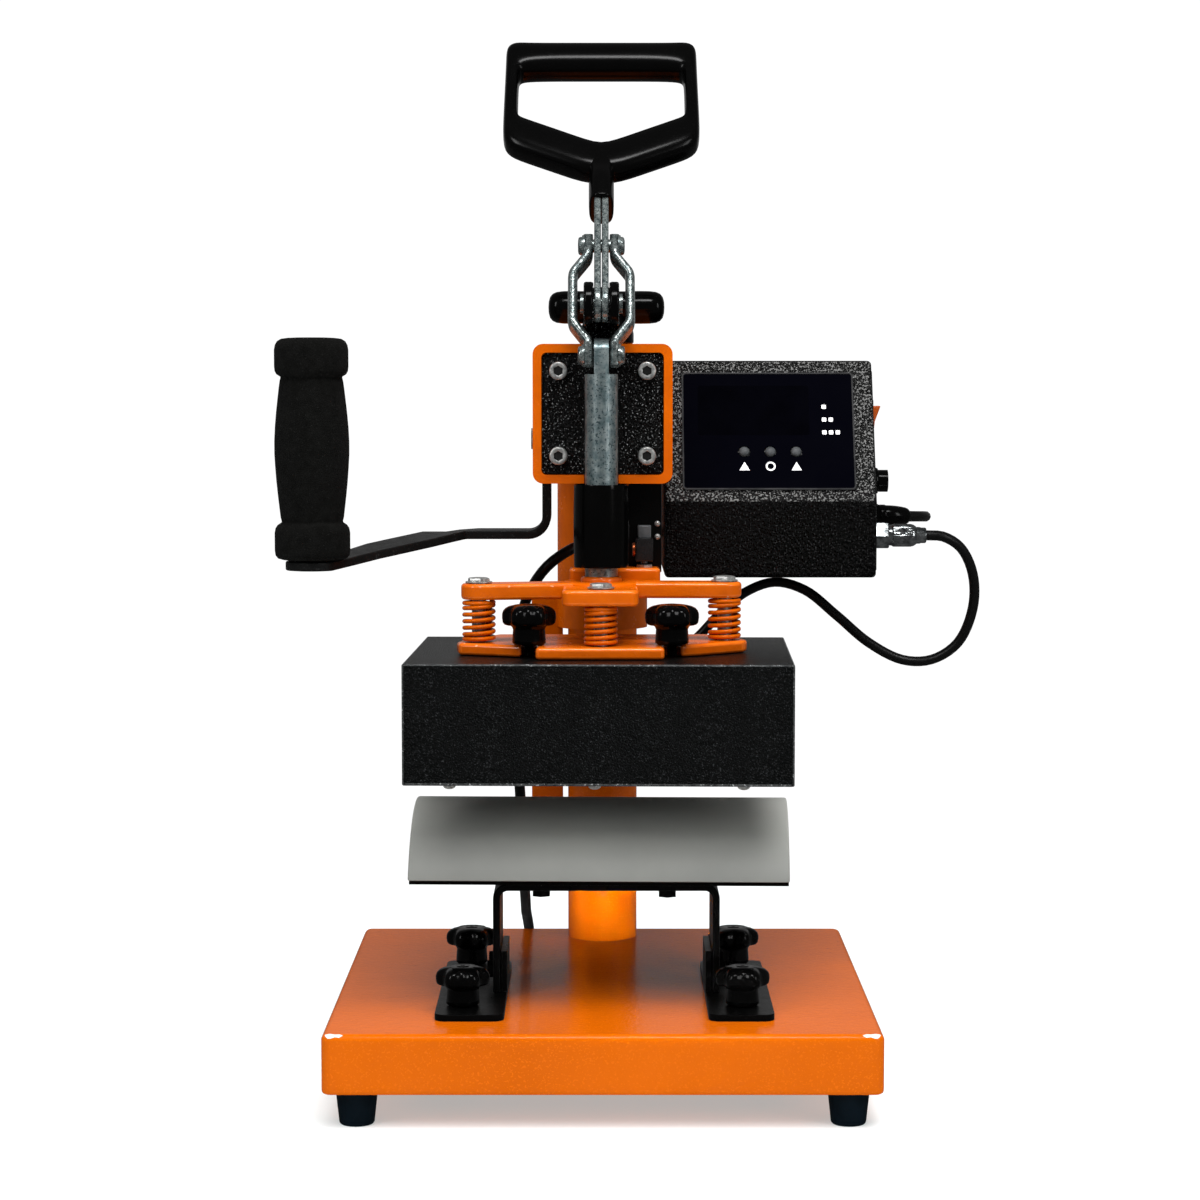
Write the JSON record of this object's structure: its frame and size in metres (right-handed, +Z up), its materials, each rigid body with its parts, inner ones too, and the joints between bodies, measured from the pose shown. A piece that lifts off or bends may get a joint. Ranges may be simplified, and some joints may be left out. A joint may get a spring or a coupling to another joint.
{
  "type": "shin guard heat press",
  "caption": "Swing-away bench heat press with toggle lever, curved heater, curved lower platen, control box and side grip, for shin guard blanks.",
  "frame": {"origin": "centre of the object's footprint (free cords left out) on the surface it stands on", "axes": "+Z up, +Y away from the operator towards the column, +X to the operator's right"},
  "size_m": [0.4048, 0.4497, 0.6044],
  "materials": {
    "orange_coat": "semi-gloss orange powder coat with fine orange peel",
    "black_coat": "fine textured black powder coat",
    "black_gloss": "moulded black plastic, polished",
    "zinc": "bluish zinc plate, mottled",
    "steel": "bright steel",
    "foot_rubber": "matte rubber",
    "foam": "closed-cell foam, matte",
    "grey_pad": "satin grey heat-proof sheet",
    "cable_pvc": "black cable sheath",
    "aluminium": "cast, satin",
    "panel_film": null,
    "dark_grey": "dark grey plastic",
    "board": "circuit board",
    "rocker": "orange plastic"
  },
  "bodies": {
    "base": {"base_tray": "orange_coat", "foot_front_left": "foot_rubber", "foot_front_right": "foot_rubber", "foot_rear_left": "foot_rubber", "foot_rear_right": "foot_rubber", "column_post": "orange_coat", "foot_rail_left": "black_coat", "foot_rail_right": "black_coat", "platen_bracket": "black_coat", "platen_pad": "grey_pad", "platen_shell": "black_coat", "mains_cord_lower": "cable_pvc", "mains_cord_coil": "cable_pvc", "mains_plug": "cable_pvc"},
    "swing_head": {"swing_arm": "orange_coat", "clamp_bracket": "black_coat", "bracket_screw_1": "steel", "bracket_screw_2": "steel", "bracket_screw_3": "steel", "bracket_screw_4": "steel", "pivot_pin": "zinc", "side_handle_bar": "black_coat", "side_handle_bolt": "steel", "foam_grip": "foam", "control_box": "black_coat", "control_panel": "panel_film", "controller_board": "board", "fuse_holder": "black_gloss", "cord_gland": "cable_pvc", "heater_connector": "steel", "switch_plate": "black_coat", "limit_switch": "dark_grey", "mains_cord_upper": "cable_pvc", "heater_cable": "cable_pvc"},
    "lever": {"lever_plates": "zinc", "d_handle": "black_gloss"},
    "links": {"link_left": "zinc", "link_right": "zinc", "upper_link_pin": "zinc"},
    "press_slide": {"plunger": "zinc", "spider": "orange_coat", "spring_left": "orange_coat", "spring_right": "orange_coat", "spring_front": "orange_coat"},
    "press_head": {"float_plate": "orange_coat", "heater_cover": "black_coat", "heater_element": "aluminium"},
    "rail_knob_front_left": {"rail_knob_front_left": "black_gloss"},
    "rail_knob_front_right": {"rail_knob_front_right": "black_gloss"},
    "rail_knob_rear_left": {"rail_knob_rear_left": "black_gloss"},
    "rail_knob_rear_right": {"rail_knob_rear_right": "black_gloss"},
    "heater_knob_left": {"heater_knob_left": "black_gloss"},
    "heater_knob_right": {"heater_knob_right": "black_gloss"},
    "t_knob": {"t_knob": "black_gloss"},
    "power_rocker": {"power_rocker": "rocker"},
    "fuse_cap": {"fuse_cap": "black_gloss"},
    "limit_switch_pin": {"limit_switch_pin": "dark_grey"},
    "button_left": {"button_left": "dark_grey"},
    "button_middle": {"button_middle": "dark_grey"},
    "button_right": {"button_right": "dark_grey"}
  },
  "joints": [
    {"name": "head_swing", "type": "hinge", "parent": "base", "child": "swing_head", "pos_m": [-0.00435, 0.12807, 0.297], "axis": [0, 0, 1], "range_deg": [0, 100]},
    {"name": "lever_pull", "type": "hinge", "parent": "swing_head", "child": "lever", "pos_m": [-0.00505, -0.03893, 0.4436], "axis": [1, 0, 0], "range_deg": [0, 155]},
    {"name": "link_turn", "type": "hinge", "parent": "lever", "child": "links", "pos_m": [-0.00505, -0.01229, 0.47697], "axis": [1, 0, 0], "range_deg": [-97.47, 0]},
    {"name": "press_travel", "type": "slide", "parent": "swing_head", "child": "press_slide", "axis": [0, 0, -1], "range_m": [0, 0.04599]},
    {"name": "press_float", "type": "slide", "parent": "press_slide", "child": "press_head", "axis": [0, 0, 1], "range_m": [0, 0.006], "stiffness_N_per_m": 12000, "springref_m": -0.002, "deforming": ["spring_left", "spring_right", "spring_front"]},
    {"name": "rail_knob_front_left_turn", "type": "hinge", "parent": "base", "child": "rail_knob_front_left", "pos_m": [-0.08175, -0.09733, 0.067], "axis": [0, 0, 1], "continuous": true},
    {"name": "rail_knob_front_right_turn", "type": "hinge", "parent": "base", "child": "rail_knob_front_right", "pos_m": [0.07305, -0.09733, 0.067], "axis": [0, 0, 1], "continuous": true},
    {"name": "rail_knob_rear_left_turn", "type": "hinge", "parent": "base", "child": "rail_knob_rear_left", "pos_m": [-0.08175, 0.02007, 0.067], "axis": [0, 0, 1], "continuous": true},
    {"name": "rail_knob_rear_right_turn", "type": "hinge", "parent": "base", "child": "rail_knob_rear_right", "pos_m": [0.07305, 0.02007, 0.067], "axis": [0, 0, 1], "continuous": true},
    {"name": "heater_knob_left_turn", "type": "hinge", "parent": "press_head", "child": "heater_knob_left", "pos_m": [-0.04525, -0.07643, 0.265], "axis": [0, 0, 1], "continuous": true},
    {"name": "heater_knob_right_turn", "type": "hinge", "parent": "press_head", "child": "heater_knob_right", "pos_m": [0.03415, -0.07643, 0.265], "axis": [0, 0, 1], "continuous": true},
    {"name": "t_knob_turn", "type": "hinge", "parent": "swing_head", "child": "t_knob", "pos_m": [-0.00195, 0.08207, 0.437], "axis": [0, 0, 1], "continuous": true},
    {"name": "power_rocker_tilt", "type": "hinge", "parent": "swing_head", "child": "power_rocker", "pos_m": [0.15415, 0.04907, 0.3765], "axis": [0, -1, 0], "range_deg": [0, 14]},
    {"name": "fuse_cap_turn", "type": "hinge", "parent": "swing_head", "child": "fuse_cap", "pos_m": [0.16265, 0.04907, 0.3406], "axis": [1, 0, 0], "range_deg": [0, 60]},
    {"name": "limit_switch_pin_push", "type": "slide", "parent": "swing_head", "child": "limit_switch_pin", "axis": [0, 0, 1], "range_m": [0, 0.0012], "stiffness_N_per_m": 400, "springref_m": -0.001},
    {"name": "button_left_press", "type": "slide", "parent": "swing_head", "child": "button_left", "axis": [0, 0.8933, -0.4495], "range_m": [0, 0.001], "stiffness_N_per_m": 600, "springref_m": -0.001},
    {"name": "button_middle_press", "type": "slide", "parent": "swing_head", "child": "button_middle", "axis": [0, 0.8933, -0.4495], "range_m": [0, 0.001], "stiffness_N_per_m": 600, "springref_m": -0.001},
    {"name": "button_right_press", "type": "slide", "parent": "swing_head", "child": "button_right", "axis": [0, 0.8933, -0.4495], "range_m": [0, 0.001], "stiffness_N_per_m": 600, "springref_m": -0.001}
  ],
  "couplings": [
    {"joint": "link_turn", "follows": "lever_pull", "ratio": -0.62876},
    {"joint": "press_travel", "follows": "lever_pull", "m_per_rad": 0.016997}
  ]
}
